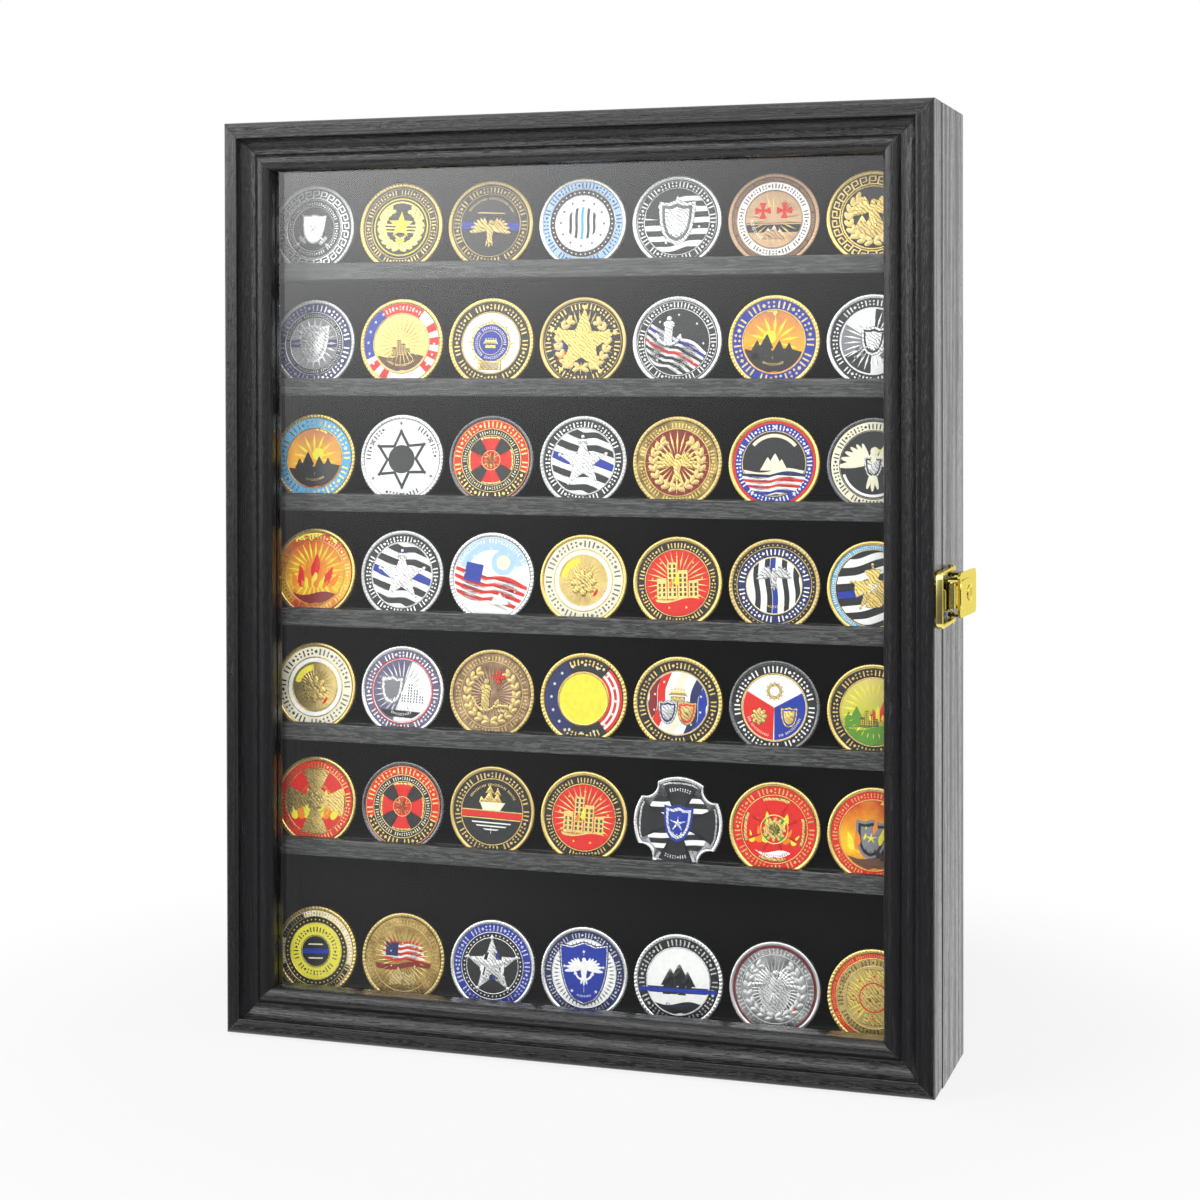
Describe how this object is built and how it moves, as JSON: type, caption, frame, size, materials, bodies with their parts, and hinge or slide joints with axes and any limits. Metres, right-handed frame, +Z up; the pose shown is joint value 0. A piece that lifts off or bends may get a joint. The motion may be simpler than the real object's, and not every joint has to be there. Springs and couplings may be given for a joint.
{
  "type": "coin display cabinet",
  "caption": "Black wooden coin display cabinet with a hinged moulded glass door, grooved shelves of coins and a small brass draw latch.",
  "frame": {"origin": "centre of the carcass's underside, midway across its width and its depth without the door", "axes": "+X to the right seen from the front, +Y to the back, towards the wall, +Z up; the door faces -Y"},
  "size_m": [0.354, 0.08, 0.435],
  "materials": {
    "black_wood": "satin black lacquer over embossed open grain",
    "back_board": "matt black stained fibreboard",
    "black_felt": "matt black felt",
    "coin_metal": "polished and antiqued metal with coloured enamel",
    "steel": "zinc plated",
    "clear_glass": "clear, polished",
    "pad_rubber": "matt",
    "brass": "polished brass plate"
  },
  "bodies": {
    "cabinet": {"back_panel": "back_board", "bottom_board": "black_wood", "carcass_brads": "steel", "coins_row_1": "coin_metal", "coins_row_2": "coin_metal", "coins_row_3": "coin_metal", "coins_row_4": "coin_metal", "coins_row_5": "coin_metal", "coins_row_6": "coin_metal", "coins_row_7": "coin_metal", "felt_lining": "black_felt", "hanger_plate_left": "steel", "hanger_plate_right": "steel", "hanger_screws": "steel", "hanging_rail": "black_wood", "hinge_lower_cabinet_leaf": "brass", "hinge_pin_lower": "brass", "hinge_pin_upper": "brass", "hinge_screws_cabinet": "brass", "hinge_upper_cabinet_leaf": "brass", "latch_base": "brass", "latch_base_screws": "brass", "lever_pin": "brass", "shelf_1": "black_wood", "shelf_2": "black_wood", "shelf_3": "black_wood", "shelf_4": "black_wood", "shelf_5": "black_wood", "shelf_6": "black_wood", "shelf_7": "black_wood", "side_board_left": "black_wood", "side_board_right": "black_wood", "top_board": "black_wood"},
    "door": {"door_stile_left": "black_wood", "door_stile_right": "black_wood", "door_rail_top": "black_wood", "door_rail_bottom": "black_wood", "door_corner_brads": "steel", "glass_pane": "clear_glass", "glazing_bead_left": "black_wood", "glazing_bead_right": "black_wood", "glazing_bead_top": "black_wood", "glazing_bead_bottom": "black_wood", "glazing_brads": "steel", "door_bumpers": "pad_rubber", "hinge_upper_door_leaf": "brass", "hinge_lower_door_leaf": "brass", "hinge_screws_door": "brass", "latch_keeper": "brass", "keeper_screws": "brass"},
    "latch_lever": {"latch_lever": "brass", "loop_rivets": "brass"},
    "latch_loop": {"latch_loop": "brass"},
    "lock_plug": {"lock_plug": "brass", "lock_cam": "brass"}
  },
  "joints": [
    {"name": "door_hinge", "type": "hinge", "parent": "cabinet", "child": "door", "pos_m": [-0.1726, -0.02975, 0.2175], "axis": [0, 0, -1], "range_deg": [0, 180]},
    {"name": "lever_swing", "type": "hinge", "parent": "cabinet", "child": "latch_lever", "pos_m": [0.1728, -0.0245, 0.2175], "axis": [0, 0, -1], "range_deg": [0, 120]},
    {"name": "loop_swing", "type": "hinge", "parent": "latch_lever", "child": "latch_loop", "pos_m": [0.172, -0.0175, 0.2175], "axis": [0, 0, 1], "range_deg": [0, 144]},
    {"name": "key_turn", "type": "hinge", "parent": "latch_lever", "child": "lock_plug", "pos_m": [0.17697, -0.00703, 0.2175], "axis": [0.9981, -0.061, 0], "range_deg": [0, 90]}
  ],
  "couplings": [
    {"joint": "loop_swing", "follows": "lever_swing", "ratio": 1.2}
  ]
}
